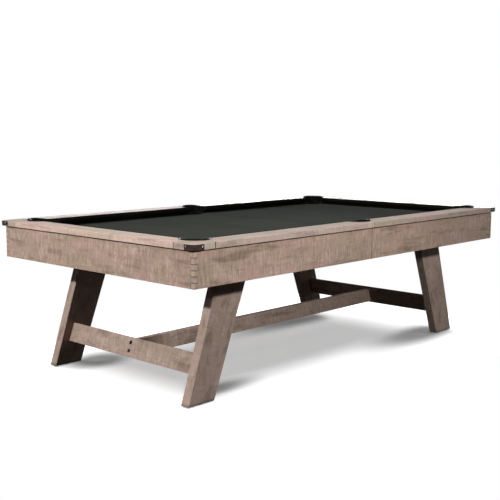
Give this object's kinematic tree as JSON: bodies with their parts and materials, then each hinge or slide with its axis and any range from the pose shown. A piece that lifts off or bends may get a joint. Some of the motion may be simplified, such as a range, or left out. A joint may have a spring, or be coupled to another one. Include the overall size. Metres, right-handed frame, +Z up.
{
  "type": "pool table",
  "caption": "Drop-pocket pool table: weathered wood rails and apron box on splayed plank legs joined by stretchers.",
  "frame": {"origin": "on the floor under the centre of the table", "axes": "+X along the table's length, +Y across it, +Z up"},
  "size_m": [2.577, 1.461, 0.781],
  "materials": {
    "weathered_wood": "wire-brushed weathered grey-brown planks with saw marks",
    "rail_wood": "wire-brushed weathered pale grey-brown, satin on top",
    "frame_timber": "planed softwood, bare",
    "bed_cloth": "napped worsted wool cloth, charcoal",
    "cushion": "gum rubber wrapped in charcoal wool cloth",
    "slate": "honed grey stone",
    "pocket_rubber": "moulded black rubber, satin",
    "bronze_metal": "dark oil-rubbed bronze, satin",
    "zinc_steel": "zinc-plated, dull"
  },
  "bodies": {
    "table": {"apron_front_left": "weathered_wood", "apron_front_right": "weathered_wood", "apron_back_left": "weathered_wood", "apron_back_right": "weathered_wood", "apron_end_left": "weathered_wood", "apron_end_right": "weathered_wood", "rail_front_left": "rail_wood", "rail_front_right": "rail_wood", "rail_back_left": "rail_wood", "rail_back_right": "rail_wood", "rail_end_left": "rail_wood", "rail_end_right": "rail_wood", "corner_block_front_left": "rail_wood", "corner_block_front_right": "rail_wood", "corner_block_back_left": "rail_wood", "corner_block_back_right": "rail_wood", "cushion_front_left": "cushion", "cushion_front_right": "cushion", "cushion_back_left": "cushion", "cushion_back_right": "cushion", "cushion_end_left": "cushion", "cushion_end_right": "cushion", "slate_left": "slate", "slate_middle": "slate", "slate_right": "slate", "bed_cloth": "bed_cloth", "pocket_front_left": "pocket_rubber", "pocket_front_middle": "pocket_rubber", "pocket_front_right": "pocket_rubber", "pocket_back_left": "pocket_rubber", "pocket_back_middle": "pocket_rubber", "pocket_back_right": "pocket_rubber", "corner_bracket_front_left": "bronze_metal", "corner_bracket_front_right": "bronze_metal", "corner_bracket_back_left": "bronze_metal", "corner_bracket_back_right": "bronze_metal", "leg_front_left": "weathered_wood", "leg_front_right": "weathered_wood", "leg_back_left": "weathered_wood", "leg_back_right": "weathered_wood", "cross_stretcher_left": "weathered_wood", "cross_stretcher_right": "weathered_wood", "long_stretcher": "weathered_wood", "long_beam_front": "frame_timber", "long_beam_back": "frame_timber", "cross_beam_end_left": "frame_timber", "cross_beam_joint_left": "frame_timber", "cross_beam_joint_right": "frame_timber", "cross_beam_end_right": "frame_timber", "leveller_inserts": "zinc_steel", "beam_angles": "zinc_steel", "slate_screws": "zinc_steel", "rail_bolts": "zinc_steel", "leg_bolts": "zinc_steel", "stretcher_bolts": "bronze_metal", "bracket_bolts": "bronze_metal"},
    "foot_front_left": {"leveller_front_left": "zinc_steel"},
    "foot_front_right": {"leveller_front_right": "zinc_steel"},
    "foot_back_left": {"leveller_back_left": "zinc_steel"},
    "foot_back_right": {"leveller_back_right": "zinc_steel"}
  },
  "joints": [
    {"name": "level_front_left", "type": "slide", "parent": "table", "child": "foot_front_left", "axis": [0, 0, -1], "range_m": [0, 0.012]},
    {"name": "level_front_right", "type": "slide", "parent": "table", "child": "foot_front_right", "axis": [0, 0, -1], "range_m": [0, 0.012]},
    {"name": "level_back_left", "type": "slide", "parent": "table", "child": "foot_back_left", "axis": [0, 0, -1], "range_m": [0, 0.012]},
    {"name": "level_back_right", "type": "slide", "parent": "table", "child": "foot_back_right", "axis": [0, 0, -1], "range_m": [0, 0.012]}
  ]
}
